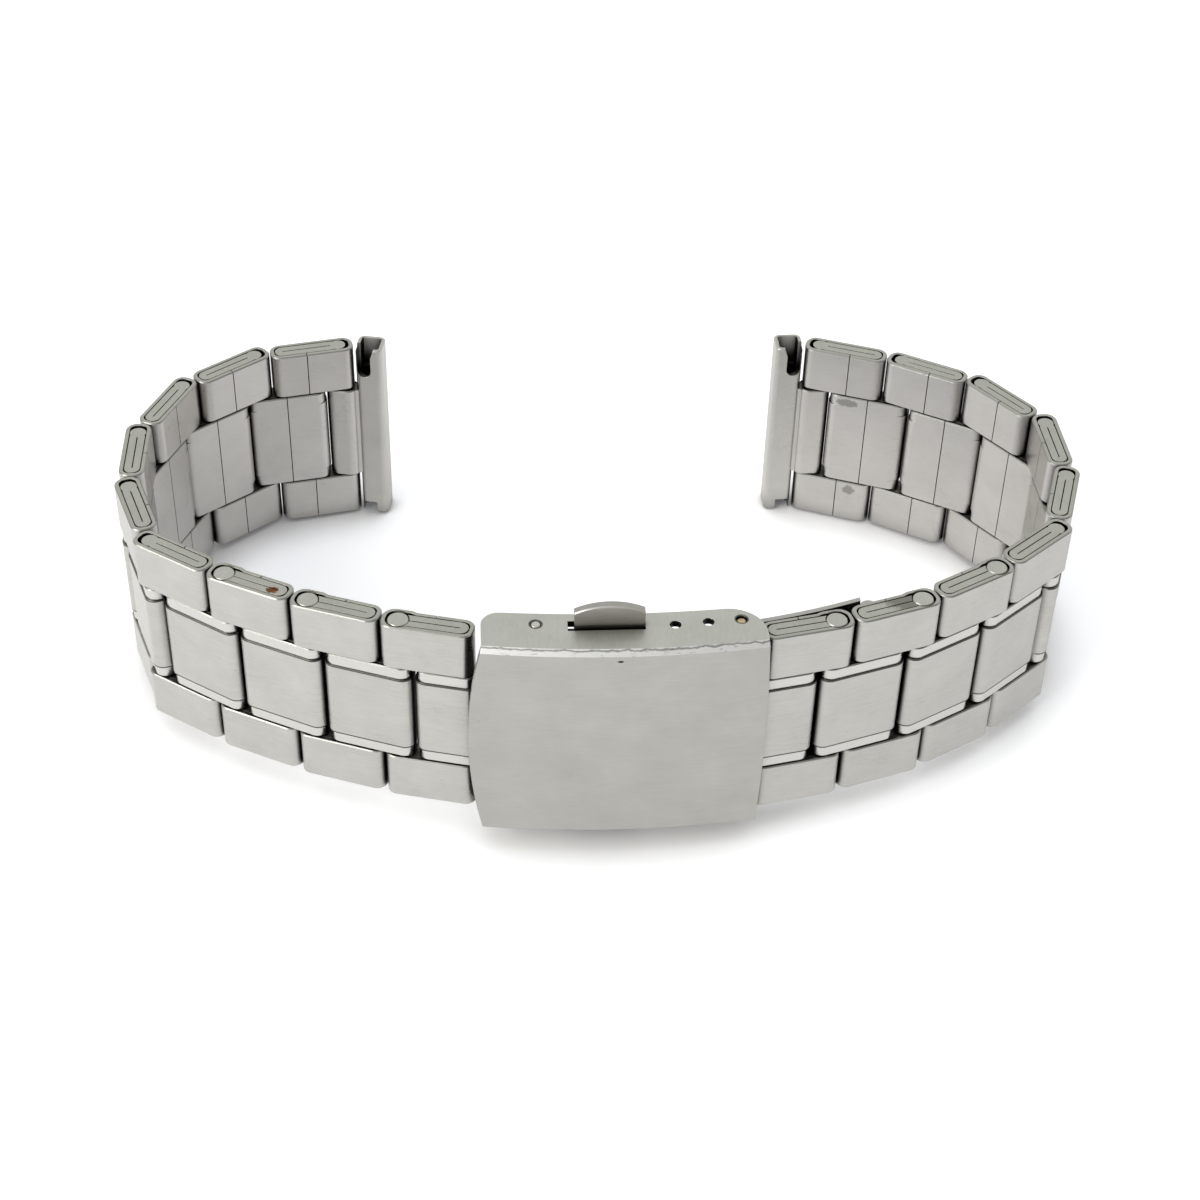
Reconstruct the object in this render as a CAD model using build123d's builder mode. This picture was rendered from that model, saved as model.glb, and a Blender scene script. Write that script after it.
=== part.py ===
"""Three-row folded-link steel watch bracelet with a fold-over clasp, standing on its edge.

Each side of the bracelet is a chain of nine link units. A unit is a pair of outer wraps and one centre
wrap on a shared folded strip. The centre wrap reaches past the outer pair towards the clasp, where the
next unit's hinge pin runs through it. All sizes are in millimetres and all angles in degrees.
"""

import math
import os

from build123d import *

os.makedirs("parts", exist_ok=True)

# Band
lug_width = 20.0
pitch = 8.28
link_thickness = 2.4
outer_row = 4.7
row_gap = 0.1
link_gap = 0.12
pin_setback = 1.49
centre_offset = 2.9
wrap_sheet = 0.4
wrap_corner = 1.0
margin_width = 1.2
margin_step = 0.12
edge_break = 0.1
seam_gap = 0.08
seam_reach = 3.2
bulge_reach = 1.45
bulge_slope = 0.5
bulge_corner = 1.15

# Folded strip inside a unit
strip_thickness = 1.42
strip_fold_gap = 0.1
strip_clearance = 0.1
knuckle_wall = 0.25

# Pins
pin_radius = 0.5
pin_clearance = 0.04
pin_cover = 0.6
cap_radius = 0.95
cap_length = 3.4
cap_face = 0.5
fit_gap = 0.02

# Tube at the clasp end of the last unit
bar_radius = 0.65
bar_tube_radius = 1.1
bar_drop = 1.1

# End pieces that meet the watch
tube_size = 2.7
tube_corner = 0.6
tube_wall = 0.35
bore_radius = 0.95
tube_reach = 3.15
tube_rise = 0.7
notch_depth = 3.2
notch_width = 1.4
notch_offset = 0.5
notch_flare = 2.0
notch_flare_depth = 0.9
foot_notch_depth = 1.2

# Clasp cover
cover_length = 24.3
cover_sheet = 0.65
cover_side_gap = 0.15
cover_depth = 5.0
cover_face_radius = 90.0
cover_edge_radius = 110.0
cover_bevel = 0.5
left_bow = 1.25
right_bow = 0.3
left_corner = 1.5
right_corner = 3.2

# Clasp places, along the cover from its ends and inwards from the level of its ends
hinge_inset = 4.65
hinge_depth = 3.07
hole_inset = 2.12
hole_spacing = 2.84
hole_depth = 3.13
hole_arch = 0.26
hole_radius = 0.5
band_end_inset = 1.3
fold_overhang = 9.85

# Clasp blades
blade_radius = 60.0
blade_depth = 3.74
blade_sheet = 0.45
blade_gap = 0.1
middle_blade_inset = 1.0
inner_blade_inset = 3.0
hinge_tube_radius = 0.95
fold_tube_radius = 0.8
fold_pin_radius = 0.4
cover_pin_radius = 0.45
middle_knuckle_inset = 1.4
inner_knuckle_width = 7.0
knuckle_gap = 0.1
ear_clearance = 0.15

# Push buttons and catch
button_setback = 6.25
button_length = 6.0
button_thickness = 0.8
button_depth = 2.45
button_straight = 1.6
button_crown = 0.7
button_travel = 1.2
shoulder = 1.05
slot_length = 6.6
slot_offset = -0.25
slot_front = 2.1
slot_back = 3.35
arm_width = 1.7
hook_width = 1.7
post_neck_radius = 0.8
post_head_radius = 1.45
post_head_thickness = 0.5
post_rivet_radius = 0.5
window_radius = 1.8
hook_clearance = 0.03
spring_drop = 1.02
spring_radius = 0.62
spring_wire_radius = 0.13
spring_turns = 13
tab_width = 1.9
tab_thickness = 0.6
tab_margin = 0.35
boss_radius = 0.4
boss_length = 1.0
guide_width = 7.8
guide_reach = 2.4

# Spring bar in the adjusting holes
bar_tip_radius = 0.45
bar_tip_length = 3.0
bar_tip_recess = 0.2

overrun = 2.0

# Lie of the bracelet, as turns at each hinge from the clasp outwards
cover_yaw = 4.4
left_turns = [14.0, 6.4, 6.9, 7.7, 36.6, 19.0, 24.2, 27.9, 26.1]
right_turns = [11.7, 6.2, 11.1, 10.5, 32.1, 20.0, 34.7, 23.3, 9.9]
end_turn = 22.0
removable_links = 3
link_count = 9

# Worked out from the sizes above
half_width = lug_width / 2
half_thickness = link_thickness / 2
centre_half = half_width - outer_row - row_gap
outer_start = -pin_setback
outer_end = pitch - pin_setback - link_gap
centre_start = centre_offset - pin_setback
centre_end = centre_start + pitch - link_gap
knuckle_radius = pin_radius + knuckle_wall
cover_inner_half = half_width + cover_side_gap
cover_half = cover_inner_half + cover_sheet
middle_blade_half = half_width - middle_blade_inset
inner_blade_half = half_width - inner_blade_inset
cover_end = cover_length / 2
hinge_place = hinge_inset - cover_end
band_end_place = band_end_inset - cover_end
fold_place = cover_end + fold_overhang
hole_places = [cover_end - hole_inset - step * hole_spacing for step in (2, 1, 0)]
hole_depths = [hole_depth - step * hole_arch for step in (2, 1, 0)]
button_place = hinge_place + button_setback
slot_place = button_place + slot_offset

pieces = {}
pivots = {}


def arc_height(place, radius, top):
    """Height of an arc over a place along the clasp, where the arc's highest point is at top."""
    return top - radius + math.sqrt(radius**2 - place**2)


def keep(part, name):
    """Takes a finished piece into the bracelet under its name."""
    part.label = name
    pieces[name] = part


def place(template, plane, name):
    """Puts one copy of a finished piece at its plane."""
    with BuildPart() as copy:
        with Locations(plane.location):
            add(template.part)
    keep(copy.part, name)


def rounded_bar(start, end, low, high, corner):
    """A rounded rectangle between two places and two heights."""
    with Locations(((start + end) / 2, (low + high) / 2)):
        RectangleRounded(end - start, high - low, corner)


def strip_section(start, end):
    """Both layers of the folded strip, seen from the side."""
    rounded_bar(start, end, -strip_thickness / 2, strip_thickness / 2, strip_thickness / 2 - fit_gap)


# Link wraps

def outer_wrap_section(inset, bulged):
    """Outline of an outer wrap, or of its hollow when inset by the sheet. The bulge is on the wrist side."""
    start = outer_start + inset
    end = outer_end - inset
    high = half_thickness - inset
    if not bulged:
        rounded_bar(start, end, -high, high, wrap_corner - inset)
        return
    low = -cap_radius - wrap_sheet - fit_gap + inset
    with BuildLine() as outline:
        Polyline(
            (start, high),
            (end, high),
            (end, -high),
            (bulge_reach, -high),
            (bulge_reach - bulge_slope, low),
            (start, low),
            close=True,
        )
    make_face(outline.edges())
    step = vertices().filter_by_position(Axis.X, bulge_reach - bulge_slope - fit_gap, bulge_reach + fit_gap)
    fillet(step, bulge_slope / 2)
    foot = vertices().filter_by_position(Axis.X, start - fit_gap, start + fit_gap).sort_by(Axis.Y)[0]
    fillet(foot, bulge_corner - inset)
    corners = vertices().filter_by_position(Axis.X, end - fit_gap, end + fit_gap)
    corners += vertices().filter_by_position(Axis.X, start - fit_gap, start + fit_gap).sort_by(Axis.Y)[-1:]
    fillet(corners, wrap_corner - inset)
    if inset:
        Circle(cap_radius + fit_gap)


def seam(place_along, reach):
    """Cuts the seam through the wrist side of a wrap, along the given reach of its row."""
    low, high = reach
    with Locations((place_along, -half_thickness, (low + high) / 2)):
        Box(seam_gap, 2 * wrap_sheet + fit_gap, high - low, mode=Mode.SUBTRACT)


def build_wraps(bulged, last):
    """The two outer wraps and the centre wrap of one unit, as three separate solids."""
    stop = pitch - bar_tube_radius - strip_clearance if last else centre_end
    with BuildPart() as outer:
        with BuildSketch(Plane.XY.offset(centre_half + row_gap)):
            outer_wrap_section(0, bulged)
        extrude(amount=outer_row)
        ends = faces().filter_by(Axis.Z)
        chamfer([edge for face in ends for edge in face.outer_wire().edges()], edge_break)
        with BuildSketch(Plane.XY.offset(centre_half)):
            outer_wrap_section(wrap_sheet, bulged)
        extrude(amount=outer_row + 2 * row_gap, mode=Mode.SUBTRACT)
        seam(seam_reach, (centre_half, half_width + row_gap))
        mirror(about=Plane.XY)
    with BuildPart() as centre:
        with BuildSketch(Plane.XY):
            rounded_bar(centre_start, stop, -half_thickness, half_thickness, wrap_corner)
        extrude(amount=centre_half - margin_width, both=True)
        with BuildSketch(Plane.XY):
            top = half_thickness - margin_step
            rounded_bar(centre_start + margin_step, stop - margin_step, -half_thickness, top, wrap_corner)
        extrude(amount=centre_half, both=True)
        rims = [faces().filter_by(Axis.Z).sort_by(Axis.Z)[side] for side in (0, -1)]
        chamfer([edge for face in rims for edge in face.outer_wire().edges()], edge_break)
        with BuildSketch(Plane.XY):
            inset = wrap_sheet
            corner = wrap_corner - inset
            low = -half_thickness + inset
            rounded_bar(centre_start + inset, stop - inset, low, -low, corner)
            if last:
                with Locations((stop, low)):
                    Rectangle(2 * wrap_corner, -low, align=(Align.CENTER, Align.MIN))
        extrude(amount=centre_half + row_gap, both=True, mode=Mode.SUBTRACT)
        if not last:
            seam((centre_start + centre_end) / 2, (-centre_half, centre_half))
    with BuildPart() as wraps:
        add(outer.part)
        add(centre.part)
    return wraps


# Folded strip

def build_strip(bulged, last):
    """The folded strip that joins a unit's wraps, with the knuckles for its own pin and the next one."""
    inset = wrap_sheet + strip_clearance
    web_start = centre_start + inset
    web_end = outer_end - inset
    fold_start = cap_radius if bulged else strip_thickness / 2
    fold_end = web_end - strip_thickness / 2
    row_depth = outer_row + row_gap - ear_clearance
    layer = (strip_thickness - strip_fold_gap) / 2
    with BuildPart() as strip:
        with BuildSketch(Plane.XY):
            strip_section(web_start, web_end)
        extrude(amount=half_width - fit_gap)
        with BuildSketch(Plane.XY.offset(half_width - fit_gap)):
            strip_section(0, web_end)
            if bulged:
                Circle(cap_radius + strip_clearance / 2, mode=Mode.SUBTRACT)
            else:
                Circle(knuckle_radius)
        extrude(amount=-row_depth)
        with Locations(((fold_start + fold_end) / 2, 0, half_width)):
            Box(fold_end - fold_start, strip_fold_gap, 2 * row_depth, mode=Mode.SUBTRACT)
        if not bulged:
            with BuildSketch(Plane.XY.offset(half_width - pin_cover)):
                Circle(pin_radius + fit_gap)
            extrude(amount=-row_depth, mode=Mode.SUBTRACT)
        with BuildSketch(Plane.XY):
            if last:
                run_start = web_start + strip_thickness
                run_end = pitch - bar_tube_radius / 2
                with Locations((pitch, -bar_drop)):
                    Circle(bar_tube_radius)
                with Locations(((run_start + run_end) / 2, (layer - strip_thickness) / 2)):
                    Rectangle(run_end - run_start, layer)
            else:
                strip_section(web_start, pitch)
                with Locations((pitch, 0)):
                    Circle(knuckle_radius)
        extrude(amount=centre_half)
        mirror(about=Plane.XY)
        drop = bar_drop if last else 0
        bore = bar_radius if last else pin_radius
        with Locations((pitch, -drop)):
            Cylinder(bore + pin_clearance, lug_width, mode=Mode.SUBTRACT)
    return strip


# Hinge pins

def build_pin(bulged):
    """The hinge pin of a unit. A removable unit's pin has a closed cap pressed on each end."""
    with BuildPart() as pin:
        reach = half_width - (cap_face if bulged else pin_cover) - fit_gap
        Cylinder(pin_radius, 2 * reach)
        chamfer(edges().filter_by(GeomType.CIRCLE), edge_break)
    if not bulged:
        return pin
    with BuildPart() as caps:
        with Locations((0, 0, half_width)):
            Cylinder(cap_radius, cap_length, align=(Align.CENTER, Align.CENTER, Align.MAX))
            chamfer(edges().filter_by(GeomType.CIRCLE).sort_by(Axis.Z)[-1:], edge_break)
        with Locations((0, 0, half_width - cap_face)):
            Cylinder(pin_radius, cap_length, align=(Align.CENTER, Align.CENTER, Align.MAX), mode=Mode.SUBTRACT)
        mirror(about=Plane.XY)
    with BuildPart() as both:
        add(caps.part)
        with BuildPart(mode=Mode.PRIVATE) as shank:
            Cylinder(pin_radius - fit_gap, 2 * (half_width - cap_face - fit_gap))
        add(shank.part)
    return both


# End pieces

def build_end_tube(top):
    """The rolled tube at the watch end, with its strip and the knuckle on the first unit's pin.

    Its bore is round between the two notches, and beyond them the tube opens to its full inner width.
    """
    low = tube_rise - tube_size / 2
    near_wall = tube_size / 2 - tube_reach
    inner_low = low + tube_wall
    inner_high = low + tube_size - tube_wall
    inner_far = near_wall - tube_size + tube_wall
    inner_near = near_wall - tube_wall
    inner_corner = tube_corner - tube_wall
    notch_place = notch_offset - tube_reach
    flare_angle = math.degrees(math.atan2(2 * notch_flare_depth, notch_flare - notch_width))
    with BuildPart() as tube:
        with BuildSketch(Plane.XY):
            rounded_bar(near_wall - tube_size, near_wall, low, low + tube_size, tube_corner)
        extrude(amount=half_width, both=True)
        chamfer([edge for face in faces().filter_by(Axis.Z) for edge in face.outer_wire().edges()], edge_break)
        with BuildSketch(Plane.XY):
            strip_section(near_wall - wrap_sheet, 0)
            Circle(knuckle_radius)
        extrude(amount=centre_half - strip_clearance, both=True)
        Cylinder(pin_radius + pin_clearance, lug_width, mode=Mode.SUBTRACT)
        with Locations((-tube_reach, tube_rise, 0)):
            Cylinder(bore_radius, lug_width + overrun, mode=Mode.SUBTRACT)
        for end, depth in ((top, notch_depth), (-top, foot_notch_depth)):
            with BuildSketch(Plane.XY.offset(end * half_width)):
                rounded_bar(inner_far, inner_near, inner_low, inner_high, inner_corner)
            extrude(amount=-end * depth, mode=Mode.SUBTRACT)
        with BuildSketch(Plane.XZ.offset(-tube_rise)):
            with Locations((notch_place, top * (half_width + (overrun - notch_depth) / 2))):
                SlotOverall(notch_depth + overrun, notch_width, rotation=90)
            with Locations((notch_place, top * half_width)):
                low_align = (Align.CENTER, Align.MIN)
                Trapezoid(notch_flare, notch_flare_depth, flare_angle, align=low_align, rotation=90 * (1 + top))
            with Locations((notch_place, -top * half_width)):
                Rectangle(notch_width, 2 * foot_notch_depth)
        extrude(amount=tube_size, mode=Mode.SUBTRACT)
    return tube


def build_tongue():
    """The short centre wrap between an end piece and the first unit."""
    near_wall = tube_size / 2 - tube_reach + fit_gap
    nose = centre_start - link_gap
    with BuildPart() as tongue:
        with BuildSketch(Plane.XY):
            rounded_bar(near_wall, nose, -half_thickness, half_thickness, wrap_corner)
        extrude(amount=centre_half, both=True)
        chamfer([edge for face in faces().filter_by(Axis.Z) for edge in face.outer_wire().edges()], edge_break)
        with BuildSketch(Plane.XY):
            low = wrap_sheet - half_thickness
            rounded_bar(near_wall + wrap_sheet, nose - wrap_sheet, low, -low, wrap_corner - wrap_sheet)
            with Locations((near_wall, 0)):
                Rectangle(2 * wrap_sheet + overrun / 2, strip_thickness + fit_gap)
        extrude(amount=centre_half + row_gap, both=True, mode=Mode.SUBTRACT)
    return tongue


# Clasp places in the clasp's own frame, X along the cover and Y outwards
cover_top = cover_face_radius - math.sqrt(cover_face_radius**2 - cover_end**2)
spring_height = cover_top - cover_sheet - spring_drop
inner_radius = blade_radius - blade_sheet - blade_gap
inner_depth = blade_depth + blade_sheet + blade_gap
ear_radius = bar_radius + knuckle_wall + blade_gap / 2
ear_height = arc_height(band_end_place, inner_radius, -inner_depth) + ear_radius + blade_sheet / 2 - fit_gap
fold_height = arc_height(fold_place, blade_radius, -blade_depth) - (blade_sheet + blade_gap) / 2
fold_strip_end = fold_place - fold_tube_radius - 2 * knuckle_gap
plate_top = -button_depth
head_bottom = plate_top + fit_gap
shoulder_top = cover_inner_half - row_gap
shoulder_low = shoulder_top - hook_width


# Clasp cover

def build_cover():
    """The folded cover with its two flanges, pin holes, adjusting holes and button slots."""
    edge_top = cover_top - cover_depth
    with BuildPart() as cover:
        with BuildSketch(Plane.XY):
            with Locations((0, cover_top - cover_face_radius)):
                Circle(cover_face_radius)
                Circle(cover_face_radius - cover_sheet, mode=Mode.SUBTRACT)
            with Locations(((right_bow - left_bow) / 2, 0)):
                Rectangle(cover_length + left_bow + right_bow, 2 * cover_depth, mode=Mode.INTERSECT)
        extrude(amount=cover_half, both=True)
        with BuildSketch(Plane.XY.offset(cover_inner_half)):
            with Locations((0, cover_top - cover_face_radius)):
                Circle(cover_face_radius)
            with Locations((0, edge_top - cover_edge_radius)):
                Circle(cover_edge_radius, mode=Mode.SUBTRACT)
            Rectangle(cover_length, 4 * cover_depth, mode=Mode.INTERSECT)
            corners = vertices().sort_by(Axis.Y)[:2].sort_by(Axis.X)
            fillet(corners[0], left_corner)
            corners = vertices().filter_by_position(Axis.X, cover_end - fit_gap, cover_end + fit_gap)
            fillet(corners.sort_by(Axis.Y)[0], right_corner)
        extrude(amount=cover_sheet)
        mirror(about=Plane.XY)
        folds = [
            edges().filter_by_position(Axis.Z, side * cover_half - fit_gap, side * cover_half + fit_gap)
            .sort_by(Axis.Y)[-1]
            for side in (-1, 1)
        ]
        chamfer(folds, cover_bevel)
        with BuildSketch(Plane.XZ.offset(-2 * cover_depth)):
            with BuildLine():
                ThreePointArc((-cover_end, -cover_half), (-cover_end - left_bow, 0), (-cover_end, cover_half))
                Line((-cover_end, cover_half), (cover_end, cover_half))
                ThreePointArc((cover_end, cover_half), (cover_end + right_bow, 0), (cover_end, -cover_half))
                Line((cover_end, -cover_half), (-cover_end, -cover_half))
            make_face()
        extrude(amount=4 * cover_depth, mode=Mode.INTERSECT)
        with Locations((hinge_place, -hinge_depth)):
            Cylinder(cover_pin_radius + fit_gap, 4 * cover_half, mode=Mode.SUBTRACT)
        with Locations(*[(place_along, -depth) for place_along, depth in zip(hole_places, hole_depths)]):
            Cylinder(hole_radius, 4 * cover_half, mode=Mode.SUBTRACT)
        with Locations((slot_place, -(slot_front + slot_back) / 2)):
            Box(slot_length, slot_back - slot_front, 4 * cover_half, mode=Mode.SUBTRACT)
    return cover


def build_cover_pin():
    """The hinge pin of the cover, flush with both flanges."""
    with BuildPart() as pin:
        with Locations((hinge_place, -hinge_depth, 0)):
            Cylinder(cover_pin_radius, 2 * cover_half)
        chamfer(edges().filter_by(GeomType.CIRCLE), edge_break)
    return pin


# Folding blades

def blade_section(start, end, radius, top):
    """Side view of a curved blade between two places along the clasp."""
    with Locations((0, top - radius)):
        Circle(radius + blade_sheet / 2)
        Circle(radius - blade_sheet / 2, mode=Mode.SUBTRACT)
    with Locations(((start + end) / 2, top)):
        Rectangle(end - start, radius, mode=Mode.INTERSECT)


def build_middle_blade():
    """The outer of the two blades, hinged in the cover's left end."""
    strip_height = arc_height(hinge_place, blade_radius, -blade_depth)
    knuckle_start = inner_knuckle_width / 2 + knuckle_gap
    with BuildPart() as knuckles:
        with BuildSketch(Plane.XY.offset(knuckle_start)):
            blade_section(fold_strip_end - blade_sheet, fold_place, blade_radius, -blade_depth)
            with Locations((fold_place, fold_height)):
                Circle(fold_tube_radius)
        extrude(amount=middle_blade_half - middle_knuckle_inset - knuckle_start)
        mirror(about=Plane.XY)
    with BuildPart() as blade:
        with BuildSketch(Plane.XY):
            blade_section(hinge_place - hinge_tube_radius / 2, fold_strip_end, blade_radius, -blade_depth)
        extrude(amount=middle_blade_half, both=True)
        with BuildSketch(Plane.XZ):
            with Locations((button_place, 0)):
                Circle(window_radius)
        extrude(amount=2 * blade_depth, mode=Mode.SUBTRACT)
        with BuildSketch(Plane.XY):
            with Locations((hinge_place, -hinge_depth)):
                Circle(hinge_tube_radius)
            with Locations((hinge_place, strip_height)):
                Rectangle(hinge_tube_radius, hinge_tube_radius, align=(Align.CENTER, Align.MIN))
        extrude(amount=middle_blade_half, both=True)
        add(knuckles.part)
        with Locations((hinge_place, -hinge_depth)):
            Cylinder(cover_pin_radius + pin_clearance, lug_width, mode=Mode.SUBTRACT)
        with Locations((fold_place, fold_height)):
            Cylinder(fold_pin_radius + fit_gap, lug_width, mode=Mode.SUBTRACT)
    return blade


def build_fold_pin():
    """The pin that joins the two blades."""
    with BuildPart() as pin:
        with Locations((fold_place, fold_height, 0)):
            Cylinder(fold_pin_radius, 2 * (middle_blade_half - middle_knuckle_inset))
    return pin


def build_inner_blade():
    """The blade against the wrist, with two ears for the left band end and a hole for the catch post."""
    ear_start = centre_half + ear_clearance
    band_end = band_end_place
    with BuildPart() as knuckle:
        with BuildSketch(Plane.XY):
            blade_section(fold_strip_end - blade_sheet, fold_place, inner_radius, -inner_depth)
            with Locations((fold_place, fold_height)):
                Circle(fold_tube_radius)
        extrude(amount=inner_knuckle_width / 2, both=True)
    with BuildPart() as ears:
        with BuildSketch(Plane.XY.offset(ear_start)):
            with Locations((band_end, ear_height)):
                Circle(ear_radius)
            with Locations((band_end + ear_radius / 4, ear_height - ear_radius - blade_sheet / 2)):
                Rectangle(ear_radius, ear_radius, align=(Align.CENTER, Align.MIN))
        extrude(amount=inner_blade_half - ear_start)
        mirror(about=Plane.XY)
    with BuildPart() as blade:
        with BuildSketch(Plane.XY):
            blade_section(band_end - ear_radius / 4, fold_strip_end, inner_radius, -inner_depth)
        extrude(amount=inner_blade_half, both=True)
        with Locations((band_end, ear_height - bar_tube_radius, 0)):
            Box(2 * bar_tube_radius + 2 * ear_clearance, overrun, 2 * ear_start, mode=Mode.SUBTRACT)
        add(knuckle.part)
        add(ears.part)
        with Locations((band_end, ear_height)):
            Cylinder(bar_radius + fit_gap, lug_width, mode=Mode.SUBTRACT)
        with Locations((fold_place, fold_height)):
            Cylinder(fold_pin_radius + pin_clearance, lug_width, mode=Mode.SUBTRACT)
        with BuildSketch(Plane.XZ):
            with Locations((button_place, 0)):
                Circle(post_rivet_radius + fit_gap)
        extrude(amount=2 * inner_depth, mode=Mode.SUBTRACT)
    return blade


def build_band_end_pin():
    """The pin that holds the left band end in the inner blade's ears."""
    with BuildPart() as pin:
        with Locations((band_end_place, ear_height, 0)):
            Cylinder(bar_radius, 2 * inner_blade_half)
        chamfer(edges().filter_by(GeomType.CIRCLE), edge_break)
    return pin


# Catch and push buttons

def build_catch_post():
    """The headed post riveted to the inner blade, which the buttons' hooks hold."""
    seat = -inner_depth + blade_sheet / 2
    foot = arc_height(button_place, inner_radius, -inner_depth) - blade_sheet / 2
    with BuildPart() as post:
        with BuildSketch(Plane.XZ.offset(-head_bottom - post_head_thickness)):
            with Locations((button_place, 0)):
                Circle(post_head_radius)
        extrude(amount=post_head_thickness)
        chamfer(edges().filter_by(GeomType.CIRCLE).sort_by(Axis.Y)[-1:], edge_break)
        with BuildSketch(Plane.XZ.offset(-head_bottom)):
            with Locations((button_place, 0)):
                Circle(post_neck_radius)
        extrude(amount=head_bottom - seat)
        with BuildSketch(Plane.XZ.offset(-seat)):
            with Locations((button_place, 0)):
                Circle(post_rivet_radius)
        extrude(amount=seat - foot)
    return post


def build_button():
    """A push button with its shoulders, the arm round the catch post, and the hook on the post's far side."""
    half = button_length / 2
    wide = half + shoulder
    straight = cover_half + button_straight
    hook_top = -post_head_radius - hook_clearance
    with BuildPart() as button:
        with BuildSketch(Plane.XZ.offset(button_depth)):
            with Locations((button_place, shoulder_low)):
                Rectangle(2 * wide, hook_width, align=(Align.CENTER, Align.MIN))
            with Locations((button_place + wide, shoulder_top)):
                arm_align = (Align.MAX, Align.MAX)
                Rectangle(arm_width, shoulder_top - hook_top + hook_width, align=arm_align)
            with Locations((button_place + wide, hook_top)):
                Rectangle(wide + post_head_radius, hook_width, align=(Align.MAX, Align.MAX))
            with BuildLine():
                Line((button_place - half, shoulder_low), (button_place - half, straight))
                crown = (button_place, straight + button_crown)
                ThreePointArc((button_place - half, straight), crown, (button_place + half, straight))
                Line((button_place + half, straight), (button_place + half, shoulder_low))
                Line((button_place + half, shoulder_low), (button_place - half, shoulder_low))
            make_face()
        extrude(amount=button_thickness)
        crown_edges = edges().sort_by(Axis.Z)[-2:]
        chamfer(crown_edges, edge_break)
        with Locations((button_place, plate_top - button_thickness / 2, shoulder_low)):
            tab_height = spring_height + boss_radius + tab_margin - plate_top + button_thickness / 2
            Box(tab_width, tab_height, tab_thickness, align=(Align.CENTER, Align.MIN, Align.MIN))
        with Locations((button_place, spring_height, shoulder_low)):
            Cylinder(boss_radius, boss_length, align=(Align.CENTER, Align.CENTER, Align.MAX))
    return button


def build_spring():
    """The coil spring between the two buttons."""
    reach = shoulder_low - spring_wire_radius - fit_gap
    with BuildPart() as spring:
        with BuildLine():
            coil = Helix(pitch=2 * reach / spring_turns, height=2 * reach, radius=spring_radius,
                         center=(button_place, spring_height, -reach))
        with BuildSketch(Plane(origin=coil @ 0, z_dir=coil % 0)):
            Circle(spring_wire_radius)
        sweep(path=coil, is_frenet=True)
    return spring


def build_guides():
    """Two blocks under the cover that guide the button plates, stop their travel and hold the spring."""
    with BuildPart() as guides:
        with BuildSketch(Plane.XY.offset(shoulder_low - button_travel - knuckle_gap)):
            with Locations((0, cover_top - cover_face_radius)):
                Circle(cover_face_radius - cover_sheet)
            with Locations((button_place, plate_top + fit_gap)):
                Rectangle(guide_width, cover_depth, align=(Align.CENTER, Align.MIN), mode=Mode.INTERSECT)
        extrude(amount=-guide_reach)
        with Locations((button_place, spring_height)):
            Cylinder(spring_radius + 2 * spring_wire_radius, lug_width, mode=Mode.SUBTRACT)
        mirror(about=Plane.XY)
    return guides


# Spring bar in the third adjusting hole

def build_bar():
    """The spring bar's tube."""
    with BuildPart() as bar:
        with Locations((hole_places[-1], -hole_depths[-1], 0)):
            Cylinder(bar_radius, lug_width)
            Cylinder(bar_tip_radius + fit_gap, lug_width, mode=Mode.SUBTRACT)
    return bar


def build_bar_tips():
    """The two sprung tips of the spring bar, seated in the cover's flanges."""
    with BuildPart() as tips:
        with Locations((hole_places[-1], -hole_depths[-1], cover_half - bar_tip_recess)):
            Cylinder(bar_tip_radius, bar_tip_length, align=(Align.CENTER, Align.CENTER, Align.MAX))
        chamfer(edges().filter_by(GeomType.CIRCLE).sort_by(Axis.Z)[-1:], edge_break)
        mirror(about=Plane.XY)
    return tips


# Placing the pieces

yaw = math.radians(cover_yaw)
clasp_plane = Plane(origin=(0, 0, 0), x_dir=(math.cos(yaw), math.sin(yaw), 0), z_dir=(0, 0, -1))
turned_plane = Plane(
    origin=clasp_plane.from_local_coords((2 * button_place, 0, 0)),
    x_dir=-clasp_plane.x_dir,
    z_dir=(0, 0, 1),
)

place(build_cover(), clasp_plane, "clasp_cover")
place(build_cover_pin(), clasp_plane, "cover_hinge_pin")
place(build_middle_blade(), clasp_plane, "middle_blade")
place(build_fold_pin(), clasp_plane, "blade_hinge_pin")
place(build_inner_blade(), clasp_plane, "inner_blade")
place(build_band_end_pin(), clasp_plane, "band_end_pin")
place(build_catch_post(), clasp_plane, "catch_post")
button = build_button()
place(button, clasp_plane, "bottom_push_button")
place(button, turned_plane, "top_push_button")
place(build_spring(), clasp_plane, "button_spring")
place(build_guides(), clasp_plane, "button_guides")
place(build_bar(), clasp_plane, "clasp_spring_bar")
place(build_bar_tips(), clasp_plane, "clasp_spring_bar_tips")
pivots["cover_hinge"] = clasp_plane.from_local_coords((hinge_place, -hinge_depth, 0))
pivots["blade_hinge"] = clasp_plane.from_local_coords((fold_place, fold_height, 0))

unit_kinds = {
    "fixed": (build_wraps(False, False), build_strip(False, False), build_pin(False)),
    "removable": (build_wraps(True, False), build_strip(True, False), build_pin(True)),
    "last": (build_wraps(True, True), build_strip(True, True), build_pin(True)),
}
tongue = build_tongue()


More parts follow.
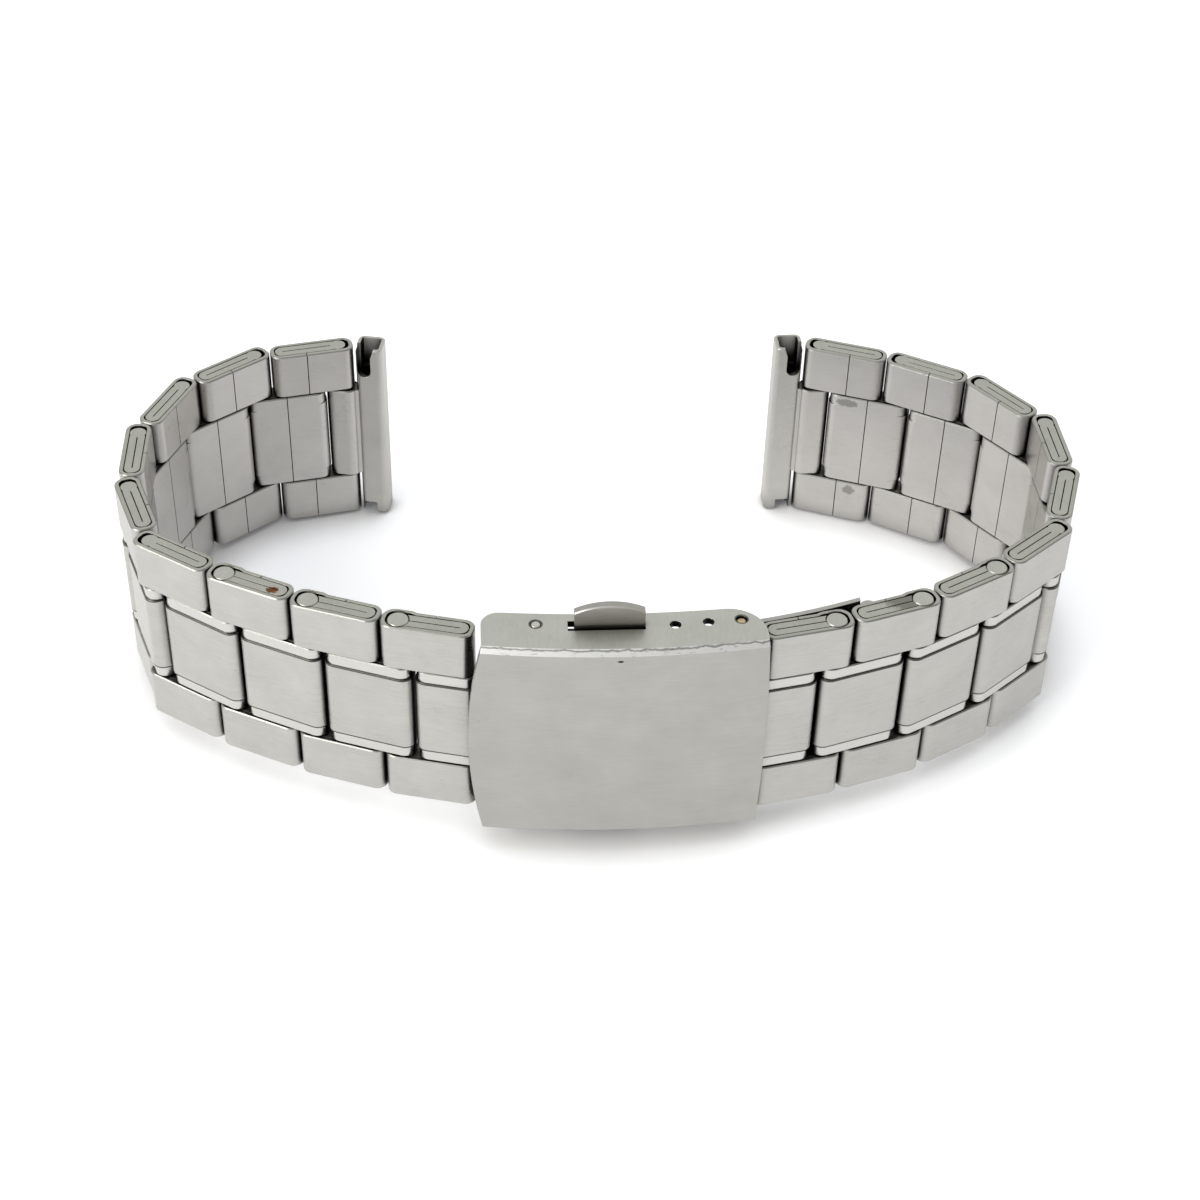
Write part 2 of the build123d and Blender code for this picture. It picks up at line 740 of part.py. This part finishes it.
def build_side(side, turns, start_angle, turn_sign, end_local, up):
    """Places one half of the band, from the clasp outwards."""
    angle = start_angle
    pin_point = clasp_plane.from_local_coords(end_local)
    drop = bar_drop
    for step, turn in enumerate(turns):
        number = link_count - step
        angle += turn_sign * turn
        direction = Vector(math.cos(math.radians(angle)), math.sin(math.radians(angle)), 0)
        outwards = Vector(0, 0, up).cross(direction)
        pivots[f"{side}_link_{number}"] = pin_point
        origin = pin_point - direction * pitch + outwards * drop
        plane = Plane(origin=origin, x_dir=direction, z_dir=(0, 0, up))
        kind = "last" if step == 0 else "removable" if step < removable_links else "fixed"
        wraps, strip, pin = unit_kinds[kind]
        place(wraps, plane, f"{side}_link_{number}_wraps")
        place(strip, plane, f"{side}_link_{number}_strip")
        place(pin, plane, f"{side}_link_{number}_pin")
        pin_point = origin
        drop = 0
    angle += turn_sign * end_turn
    direction = Vector(math.cos(math.radians(angle)), math.sin(math.radians(angle)), 0)
    plane = Plane(origin=pin_point, x_dir=direction, z_dir=(0, 0, up))
    pivots[f"{side}_end"] = pin_point
    pivots[f"{side}_bore"] = plane.from_local_coords((-tube_reach, tube_rise, 0))
    place(build_end_tube(up), plane, f"{side}_end_tube")
    place(tongue, plane, f"{side}_end_tongue")


left_point = (band_end_place, ear_height, 0)
right_point = (hole_places[-1], -hole_depths[-1], 0)
build_side("left", left_turns, cover_yaw, -1, left_point, -1)
build_side("right", right_turns, cover_yaw + 180, 1, right_point, 1)

# The fixed units' pins share their strip's file, which keeps the bracelet within its number of files
for side in ("left", "right"):
    for number in range(1, link_count - removable_links + 1):
        pin = pieces.pop(f"{side}_link_{number}_pin")
        strip = pieces.pop(f"{side}_link_{number}_strip")
        with BuildPart() as core:
            add(strip)
            add(pin)
        keep(core.part, f"{side}_link_{number}_core")

# The bracelet stands on its edge over the middle of its bounding box
box = Compound(list(pieces.values())).bounding_box()
shift = Vector(-(box.min.X + box.max.X) / 2, -(box.min.Y + box.max.Y) / 2, -box.min.Z)
for name, part in pieces.items():
    part = part.moved(Location(shift))
    part.label = name
    pieces[name] = part
    export_step(part, f"parts/{name}.step")
for name, point in pivots.items():
    pivots[name] = point + shift
print("nodes", len(pieces), "size", box.size)
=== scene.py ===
"""Link watch bracelet in brushed steel, standing on its edge with its clasp to the front."""

import math

import bmesh
import bpy
from mathutils import Matrix, Vector


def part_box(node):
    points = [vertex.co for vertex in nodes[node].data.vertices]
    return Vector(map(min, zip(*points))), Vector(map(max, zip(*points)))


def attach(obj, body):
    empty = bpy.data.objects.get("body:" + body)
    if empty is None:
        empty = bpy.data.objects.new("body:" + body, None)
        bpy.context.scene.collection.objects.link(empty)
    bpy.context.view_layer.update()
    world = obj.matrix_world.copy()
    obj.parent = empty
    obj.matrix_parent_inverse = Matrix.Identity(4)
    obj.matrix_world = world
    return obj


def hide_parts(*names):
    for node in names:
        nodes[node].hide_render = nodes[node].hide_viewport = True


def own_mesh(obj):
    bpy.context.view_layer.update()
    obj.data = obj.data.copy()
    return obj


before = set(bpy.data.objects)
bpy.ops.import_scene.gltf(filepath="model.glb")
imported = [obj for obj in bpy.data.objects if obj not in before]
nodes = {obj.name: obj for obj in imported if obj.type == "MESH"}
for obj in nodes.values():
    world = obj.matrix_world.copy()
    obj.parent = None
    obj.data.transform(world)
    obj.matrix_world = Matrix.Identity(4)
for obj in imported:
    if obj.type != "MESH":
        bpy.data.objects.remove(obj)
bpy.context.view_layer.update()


# Clasp cover
# One folded sheet of stainless steel, brushed lengthwise after folding. Its two folds are broken to a
# bevel that has been scuffed bright, and its flanges carry the hinge pin, the adjusting holes and the
# buttons' slots.

MM = 0.001
oval_share = 0.31


class Value:
    """A socket of a material's nodes. Python's arithmetic on it adds Math nodes."""

    def __init__(self, tree, socket=None):
        self.tree = tree
        self.socket = socket

    def node(self, kind, settings=None, inputs=None, output=0):
        """Adds a node of a kind, with its settings first and then its sockets' values or links."""
        made = self.tree.nodes.new("ShaderNode" + kind)
        for name, setting in (settings or {}).items():
            setattr(made, name, setting)
        for name, value in (inputs or {}).items():
            if isinstance(value, Value):
                self.tree.links.new(value.socket, made.inputs[name])
            else:
                made.inputs[name].default_value = value
        return Value(self.tree, made.outputs[output]) if made.outputs else None

    def math(self, operation, *terms):
        return self.node("Math", {"operation": operation}, dict(enumerate(terms)))

    def __add__(self, other):
        return self.math("ADD", self, other)

    __radd__ = __add__

    def __mul__(self, other):
        return self.math("MULTIPLY", self, other)

    __rmul__ = __mul__

    def __sub__(self, other):
        return self.math("SUBTRACT", self, other)

    def __rsub__(self, other):
        return self.math("SUBTRACT", other, self)

    def __abs__(self):
        return self.math("ABSOLUTE", self)

    def least(self, other):
        return self.math("MINIMUM", self, other)

    def rise(self, low, high):
        """0 below low, 1 above high and a smooth slope between them. It falls where low is above high."""
        start, end = (low, high) if low < high else (high, low)
        stops = {"Value": self, "From Min": start, "From Max": end}
        if low > high:
            stops.update({"To Min": 1.0, "To Max": 0.0})
        return self.node("MapRange", {"interpolation_type": "SMOOTHSTEP"}, stops)

    def mix(self, first, second):
        """The colour that goes from first to second as this value goes from 0 to 1."""
        shades = [shade if isinstance(shade, Value) else (*shade, 1.0) for shade in (first, second)]
        inputs = {"Factor": self, 6: shades[0], 7: shades[1]}
        return self.node("Mix", {"data_type": "RGBA"}, inputs, output=2)

    def times(self, factor):
        """This colour or vector, scaled."""
        return self.node("VectorMath", {"operation": "SCALE"}, {0: self, "Scale": factor})

    def split(self):
        """The three parts of a vector."""
        return [self.node("SeparateXYZ", None, {0: self}, output=part) for part in range(3)]

    def noise(self, scales, detail=2.0, rough=0.5, shift=0.0):
        """Noise about 0.5 on a point in millimetres, with so many lumps per millimetre along each axis."""
        place = {"Vector": self, "Location": (shift, shift, shift), "Scale": scales}
        stretched = self.node("Mapping", {"vector_type": "POINT"}, place)
        inputs = {"Vector": stretched, "Scale": 1.0, "Detail": detail, "Roughness": rough}
        return self.node("TexNoise", None, inputs)

    def blot(self, centre, size, ragged=0.5):
        """1 at a centre in millimetres and 0 beyond a ragged oval of a size round it."""
        shift = {"Vector": self, "Location": [-at / reach for at, reach in zip(centre, size)],
                 "Scale": [1 / reach for reach in size]}
        far = self.node("Mapping", {"vector_type": "POINT"}, shift)
        far = self.node("VectorMath", {"operation": "LENGTH"}, {0: far}, output="Value")
        edge = self.noise((4.0, 4.0, 4.0), detail=3.0, rough=0.6, shift=centre[0])
        return (far + (edge - 0.5) * ragged).rise(1.0, 0.7)

    def ring(self, centres):
        """The distance in millimetres from the nearest of some upright axes."""
        nearest = None
        for centre in centres:
            flat = {"Vector": self, "Location": (-centre[0], -centre[1], 0.0), "Scale": (1.0, 1.0, 0.0)}
            far = self.node("Mapping", {"vector_type": "POINT"}, flat)
            far = self.node("VectorMath", {"operation": "LENGTH"}, {0: far}, output="Value")
            nearest = nearest.least(far) if nearest else far
        return nearest


def middle(name):
    """The middle of a node's box, in millimetres."""
    low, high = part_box(name)
    return [(first + second) / 2 / MM for first, second in zip(low, high)]


band_middle = middle("clasp_cover")[2]


def outward(point, facing):
    """How much a face looks away from the middle of the band's oval. It is negative on the wrist side."""
    x, y = point.split()[:2]
    return facing[0] * x * oval_share + facing[1] * y


def steel(name, outer, inner, end, rough=0.3, grain=1.0, dirt=1.0, change=None):
    """Brushed steel with its own colour on the outer sides, the wrist sides and the ends.

    The colour is the face's own, times the brush lines and the slow patches, with small dark flecks. Where
    less sky is open, as in the gaps between links and over their rounded ends, painted shade takes it
    towards black, and a speckled dark dirt, part real dirt and part painted shade, is laid over it. The dirt
    strength scales the flecks and that dark dirt. Roughness and relief follow the same lines. A change gets
    the point, the three parts of the face's normal, the colour and the roughness, and returns the last two.
    """
    material = bpy.data.materials.new(name)
    material.use_nodes = True
    material.node_tree.nodes.clear()
    start = Value(material.node_tree)
    point = start.node("TexCoord", output="Object").times(1 / MM)
    facing = start.node("TexCoord", output="Normal").split()
    outwards = outward(point, facing).rise(-3.0, 3.0)
    is_end = abs(facing[2]).rise(0.6, 0.9)

    streak = point.noise((0.4, 0.4, 7.0), detail=3.0, rough=0.65)
    fine = point.noise((1.0, 1.0, 18.0), detail=2.0, rough=0.5, shift=3.0)
    filed = point.noise((4.0, 1.1, 1.0), detail=3.0, rough=0.6, shift=5.0)
    patch = point.noise((0.25, 0.25, 0.3), detail=3.0, rough=0.6, shift=8.0)
    lines = (1.0 - is_end) * (streak * 0.6 + fine * 0.4) + is_end * filed
    strength = (0.55 + outwards * 0.45) * grain
    shade = 1.0 + (lines - 0.5) * strength * 0.36 + (patch - 0.5) * 0.24
    tint = is_end.mix(outwards.mix(inner, outer), end).times(shade)
    fleck = point.noise((1.7, 1.7, 2.6), detail=4.0, rough=0.75, shift=21.0).rise(0.69, 0.73)
    fleck_colour = (0.12, 0.11, 0.1)
    tint = (fleck * 0.55 * dirt).mix(tint, fleck_colour)
    roughness = rough + (lines - 0.5) * 0.16 + (patch - 0.5) * 0.1 + is_end * 0.08
    if change:
        tint, roughness = change(point, facing, tint, roughness)

    # Painted shade: the colour goes towards black where the occlusion finds little open sky, in the gaps
    # between links and over their rounded ends.
    sky_reach = 3.6 * MM
    sky = start.node("AmbientOcclusion", {"samples": 8}, {"Distance": sky_reach}, output="AO")
    tint = tint.times(0.08 + 0.92 * sky.rise(0.14, 0.88))
    # Dark dirt speckled by noise where little sky is open: part real dirt in the gaps, part painted shade.
    specks = point.noise((3.0, 3.0, 3.0), detail=3.0, rough=0.7, shift=11.0)
    dirt_and_shade = (sky.rise(0.4, 0.08) * (0.35 + specks) * dirt).least(0.9)
    dirt_and_shade_colour = (0.03, 0.024, 0.02)
    tint = dirt_and_shade.mix(tint, dirt_and_shade_colour)

    edge_radius = 0.08 * MM
    brush_depth = 0.012 * MM
    soft = start.node("Bevel", {"samples": 4}, {"Radius": edge_radius})
    relief = {"Strength": 0.22, "Distance": brush_depth, "Height": lines * strength * 0.7 + patch * 0.3,
              "Normal": soft}
    bump = start.node("Bump", None, relief)
    finish = {"Base Color": tint, "Metallic": 1.0, "Roughness": roughness, "Normal": bump}
    start.node("OutputMaterial", None, {"Surface": start.node("BsdfPrincipled", None, finish)})
    return material


def dress(material, *names):
    """Gives nodes of the frame their finish."""
    for name in names:
        slots = nodes[name].data.materials
        slots.clear()
        slots.append(material)


def wear_cover(point, facing, tint, roughness):
    """Scuffs the bevels, draws the dark lines where pins meet the flanges, and adds one dark speck."""
    slant = abs(facing[2])
    bevel = slant.rise(0.4, 0.55) * slant.rise(0.95, 0.88)
    rubbed = (0.84, 0.83, 0.79)
    dented = (0.42, 0.41, 0.37)
    scratched = (0.16, 0.15, 0.13)
    tint = bevel.mix(tint, rubbed)
    scuff = point.noise((1.3, 1.3, 9.0), detail=4.0, rough=0.7, shift=31.0)
    tint = (bevel * scuff.rise(0.56, 0.66) * 0.6).mix(tint, dented)
    scratch_height = 10.68
    wander = point.noise((0.5, 0.5, 0.5), detail=3.0, rough=0.7, shift=37.0)
    height = abs(point.split()[2] - band_middle) + (wander - 0.5) * 0.5
    scratch = height.rise(scratch_height - 0.08, scratch_height - 0.02)
    scratch = scratch * height.rise(scratch_height + 0.1, scratch_height + 0.02)
    tint = (scratch * bevel * 0.7).mix(tint, scratched)

    hole_radius = 0.54
    joint_colour = (0.06, 0.055, 0.05)
    near = point.ring([middle("cover_hinge_pin"), middle("clasp_spring_bar_tips")])
    round_line = near.rise(hole_radius - 0.11, hole_radius - 0.04)
    round_line = round_line * near.rise(hole_radius + 0.12, hole_radius + 0.04)
    tint = (round_line * slant.rise(0.9, 0.95) * 0.85).mix(tint, joint_colour)
    speck = point.blot(centre=(2.26, -24.73, 22.87), size=(0.3, 0.3, 0.14))
    return speck.mix(tint, (0.03, 0.03, 0.03)), roughness + bevel * 0.08


cover_steel = steel("cover_steel", outer=(0.49, 0.485, 0.46), inner=(0.42, 0.415, 0.4),
                    end=(0.57, 0.57, 0.51), rough=0.32, grain=0.8, dirt=0.6, change=wear_cover)
dress(cover_steel, "clasp_cover")


# Push buttons
# Two stamped plates with bowed ends, which stand out of the flanges. They are darker than the cover, with
# a light rim along each bowed end where thumbs have rubbed them.

def rub_rims(point, facing, tint, roughness):
    """Lightens the broken edges of the bowed ends."""
    slant = abs(facing[2])
    rim = slant.rise(0.35, 0.5) * slant.rise(0.9, 0.82)
    rubbed = (0.62, 0.6, 0.55)
    return rim.mix(tint, rubbed), roughness - rim * 0.05


button_steel = steel("button_steel", outer=(0.48, 0.465, 0.43), inner=(0.4, 0.39, 0.35),
                     end=(0.42, 0.41, 0.37), rough=0.34, grain=1.2, dirt=0.6, change=rub_rims)
dress(button_steel, "top_push_button", "bottom_push_button")


# Button spring
# The coil spring lies between the two buttons, under the cover, and each button presses its own half short.
# It is shown as two halves that meet at the middle of the band, both fixed to the cover.

weld = 0.0001 * MM
spring_grey = (0.5, 0.5, 0.5)
spring_steel = steel("spring_steel", outer=spring_grey, inner=spring_grey, end=spring_grey,
                     rough=0.25, grain=0.3, dirt=0.5)


def half_spring(name, side):
    """The coil on one side of the band's middle."""
    build = bmesh.new()
    build.from_mesh(nodes["button_spring"].data)
    bmesh.ops.remove_doubles(build, verts=build.verts, dist=weld)
    centre = Vector(middle("button_spring")) * MM
    everything = build.verts[:] + build.edges[:] + build.faces[:]
    cut = bmesh.ops.bisect_plane(build, geom=everything, plane_co=centre, plane_no=(0, 0, side),
                                 clear_inner=True)
    rim = [part for part in cut["geom_cut"] if isinstance(part, bmesh.types.BMEdge)]
    bmesh.ops.holes_fill(build, edges=rim)
    mesh = bpy.data.meshes.new(name)
    build.to_mesh(mesh)
    build.free()
    mesh.materials.append(spring_steel)
    half = bpy.data.objects.new(name, mesh)
    bpy.context.scene.collection.objects.link(half)
    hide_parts("button_spring")
    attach(half, "cover")
    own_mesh(half)


half_spring("top_half_spring", 1)
half_spring("bottom_half_spring", -1)


# Blades, pins and catch
# The two folding blades are thin stamped strips with a plain satin finish. The pins, the catch post and
# the spring bar are turned wire, a little brighter, and the spring bar's tips are brass.

blade_steel = steel("blade_steel", outer=(0.5, 0.49, 0.475), inner=(0.46, 0.45, 0.435),
                    end=(0.5, 0.49, 0.45), rough=0.33, grain=0.9, dirt=0.8)
dress(blade_steel, "middle_blade", "inner_blade", "button_guides")
turned_steel = steel("pin_steel", outer=(0.6, 0.59, 0.55), inner=(0.56, 0.55, 0.52),
                     end=(0.64, 0.63, 0.57), rough=0.3, grain=0.6, dirt=0.6)
dress(turned_steel, "cover_hinge_pin", "blade_hinge_pin", "band_end_pin", "catch_post", "clasp_spring_bar")
tip_brass = steel("tip_brass", outer=(0.68, 0.54, 0.33), inner=(0.68, 0.54, 0.33),
                  end=(0.72, 0.57, 0.34), rough=0.34, grain=0.8, dirt=0.6)
dress(tip_brass, "clasp_spring_bar_tips")


# Link wraps
# Each wrap is steel sheet bent round the link's strip, brushed along the band on its outer side and satin
# on its wrist side. The centre wraps' margins are set lower and polished, with a fine line of painted shade
# along the step.

margin_step = 4.0
margin_edge = 5.22
cap_pins = [name for name in nodes if name.endswith("_pin") and "_link_" in name]


def finish_wraps(point, facing, tint, roughness):
    """Polishes the margins, paints shade along the steps, darkens broken edges and curls, smudges two wrist
    sides.
    """
    height = abs(point.split()[2] - band_middle)
    slant = abs(facing[2])
    outer_side = slant.rise(0.6, 0.4) * outward(point, facing).rise(2.0, 6.0)
    margin = height.rise(margin_step - 0.02, margin_step + 0.02)
    margin = margin * height.rise(margin_edge, margin_edge - 0.02) * outer_side
    polished = (0.74, 0.735, 0.71)
    tint = (margin * 0.8).mix(tint, polished)
    # Painted shade: a fine dark line along the step between each polished margin and the raised middle, on
    # the outer side.
    step = height.rise(margin_step - 0.16, margin_step - 0.1)
    step = step * height.rise(margin_step + 0.12, margin_step + 0.05)
    step_shade_colour = (0.04, 0.035, 0.03)
    tint = (step * outer_side * 0.9).mix(tint, step_shade_colour)
    edge = slant.rise(0.3, 0.5) * slant.rise(0.95, 0.85)
    edge_colour = (0.28, 0.28, 0.245)
    tint = (edge * 0.8).mix(tint, edge_colour)

    near = point.ring([middle(name) for name in cap_pins])
    curl = near.rise(0.92, 0.97) * near.rise(1.16, 1.05) * slant.rise(0.85, 0.95) * height.rise(9.0, 9.4)
    curl_colour = (0.03, 0.027, 0.022)
    tint = (curl * 0.9).mix(tint, curl_colour)
    smudge = point.blot(centre=(24.55, 21.06, 17.6), size=(1.3, 1.2, 0.5), ragged=0.9) * 0.5
    smudge = smudge + point.blot(centre=(25.6, 20.8, 6.9), size=(0.7, 1.0, 0.6), ragged=1.3) * 0.5
    smudge_colour = (0.09, 0.085, 0.075)
    return smudge.least(0.8).mix(tint, smudge_colour), roughness - margin * 0.08


link_steel = steel("link_steel", outer=(0.58, 0.573, 0.55), inner=(0.64, 0.625, 0.6),
                   end=(0.46, 0.46, 0.4), rough=0.3, grain=1.0, dirt=1.0, change=finish_wraps)
dress(link_steel, *[name for name in nodes if name.endswith("_wraps")])


# Folded strips and pins inside the links
# A strip doubled over runs through each link, and its cut ends show in the link's end faces, matt and a
# little greenish. One has a spot of rust. The removable links' pins end in round caps, a little brighter.

def age_strips(point, facing, tint, roughness):
    """One spot of rust on the left, and dirt on the end of one link on the right."""
    rust = point.blot(centre=(-27.94, -16.91, 23.08), size=(0.62, 0.46, 0.5), ragged=1.3)
    brown = (0.13, 0.055, 0.025)
    orange = (0.33, 0.15, 0.06)
    tint = rust.mix(tint, point.noise((5.0, 5.0, 5.0), detail=2.0, rough=0.6, shift=41.0).mix(brown, orange))
    dirt = point.blot(centre=(27.2, -15.9, 23.1), size=(2.6, 1.6, 0.8), ragged=0.9) * 0.6
    dirt_colour = (0.1, 0.095, 0.08)
    return dirt.mix(tint, dirt_colour), roughness + rust * 0.3


strip_steel = steel("strip_steel", outer=(0.5, 0.5, 0.46), inner=(0.5, 0.5, 0.46),
                    end=(0.49, 0.49, 0.43), rough=0.36, grain=1.0, dirt=1.0, change=age_strips)
dress(strip_steel, *[name for name in nodes if name.endswith("_core") or name.endswith("_strip")])
cap_steel = steel("cap_steel", outer=(0.58, 0.57, 0.53), inner=(0.55, 0.54, 0.5),
                  end=(0.54, 0.54, 0.475), rough=0.32, grain=0.8, dirt=0.8)
dress(cap_steel, *cap_pins)


# End tubes
# The watch end of each half is a strip rolled to a square tube for the spring bar, notched for a tool,
# and satin all round. A short centre wrap stands beside it, finished as the other wraps are.

tube_steel = steel("end_tube_steel", outer=(0.58, 0.57, 0.54), inner=(0.6, 0.59, 0.56),
                   end=(0.52, 0.51, 0.46), rough=0.3, grain=0.7, dirt=0.9)
dress(tube_steel, *[name for name in nodes if name.endswith("_end_tube")])
dress(link_steel, *[name for name in nodes if name.endswith("_tongue")])


# Floor, light and camera
# A white floor under soft light from all round, seen from the photograph's viewing angle. The bracelet
# leans a little on its lower button, so the floor is tilted to meet its end tubes too.

button_foot = -21.9 * MM
tube_foot = 24.0 * MM
tube_rise = 3.1 * MM
clearance = 0.02 * MM
slope = tube_rise / (tube_foot - button_foot)
reach = 2.0
edges = [(-reach, -reach), (reach, -reach), (reach, reach), (-reach, reach)]
floor_mesh = bpy.data.meshes.new("floor")
floor_mesh.from_pydata([(x, y, slope * (y - button_foot) - clearance) for x, y in edges], [], [range(4)])
floor = bpy.data.objects.new("floor", floor_mesh)
bpy.context.scene.collection.objects.link(floor)
floor_paint = bpy.data.materials.new("floor_paint")
floor_paint.use_nodes = True
floor_paint.node_tree.nodes.clear()
paint = Value(floor_paint.node_tree)
seen = paint.node("LightPath", output="Is Camera Ray")
glossy = paint.node("LightPath", output="Is Glossy Ray")
mirrored = glossy + paint.node("LightPath", output="Is Transmission Ray")
matt = paint.node("BsdfDiffuse", None, {"Color": (0.8, 0.785, 0.75, 1)})
# Painted shadow: the floor's glow for the camera dims where little sky is open near the bracelet, added to
# the real shadow in its matt part.
shadow_reach = 7.0 * MM
open_sky = paint.node("AmbientOcclusion", {"samples": 16}, {"Distance": shadow_reach}, output="AO")
open_sky = open_sky.rise(0.4, 0.95)
strength = seen * (0.08 + 0.48 * open_sky) + mirrored * 0.22
glow_and_painted_shadow = paint.node("Emission", None, {"Color": (0.91, 0.94, 1, 1), "Strength": strength})
both = paint.node("AddShader", None, {0: matt, 1: glow_and_painted_shadow})
paint.node("OutputMaterial", None, {"Surface": both})
floor_mesh.materials.append(floor_paint)

world = bpy.data.worlds.new("studio")
bpy.context.scene.world = world
world.use_nodes = True
world.node_tree.nodes.clear()
air = Value(world.node_tree)
direction = air.node("TexCoord", output="Generated").split()
horizon = (0.9, 0.9, 0.9)
zenith = (0.76, 0.77, 0.79)
shade = (0.33, 0.33, 0.33)
white = (1.0, 1.0, 1.0)
tone = direction[2].rise(0.15, 0.9).mix(horizon, zenith)
shaded_side = direction[0].rise(-0.2, 0.9) * direction[1].rise(0.3, -0.3)
tone = (shaded_side * 0.95).mix(tone, shade)
shown = air.node("LightPath", output="Is Camera Ray").mix(tone, white)
backdrop = air.node("Background", None, {"Color": shown, "Strength": 1.0})
air.node("OutputWorld", None, {"Surface": backdrop})


def lamp(name, place, aim, size, watts):
    """A square soft box at a place, turned towards a point."""
    data = bpy.data.lights.new(name, "AREA")
    data.size = size
    data.energy = watts
    box = bpy.data.objects.new(name, data)
    box.location = place
    box.rotation_euler = (Vector(aim) - Vector(place)).to_track_quat("-Z", "Y").to_euler()
    bpy.context.scene.collection.objects.link(box)


lamp("key", place=(-0.4, -0.3, 0.28), aim=(0, 0, 0.01), size=0.35, watts=2.0)

elevation = math.radians(40.24)
roll = math.radians(-1.6)
distance = 231.7 * MM
aim = Vector((0.3587, 6.5842, 3.1)) * MM
back = Vector((0, -math.cos(elevation), math.sin(elevation)))
right = Vector((1, 0, 0))
upward = back.cross(right)
turned_right = math.cos(roll) * right - math.sin(roll) * upward
turned_up = math.sin(roll) * right + math.cos(roll) * upward
camera_data = bpy.data.cameras.new("camera")
camera_data.sensor_width = 36.0
camera_data.lens = 69.87
camera_data.clip_start = 0.01
camera = bpy.data.objects.new("camera", camera_data)
turn = Matrix((turned_right, turned_up, back)).transposed().to_4x4()
camera.matrix_world = Matrix.Translation(aim + back * distance) @ turn
bpy.context.scene.collection.objects.link(camera)
bpy.context.scene.camera = camera
bpy.context.scene.view_settings.view_transform = "Standard"
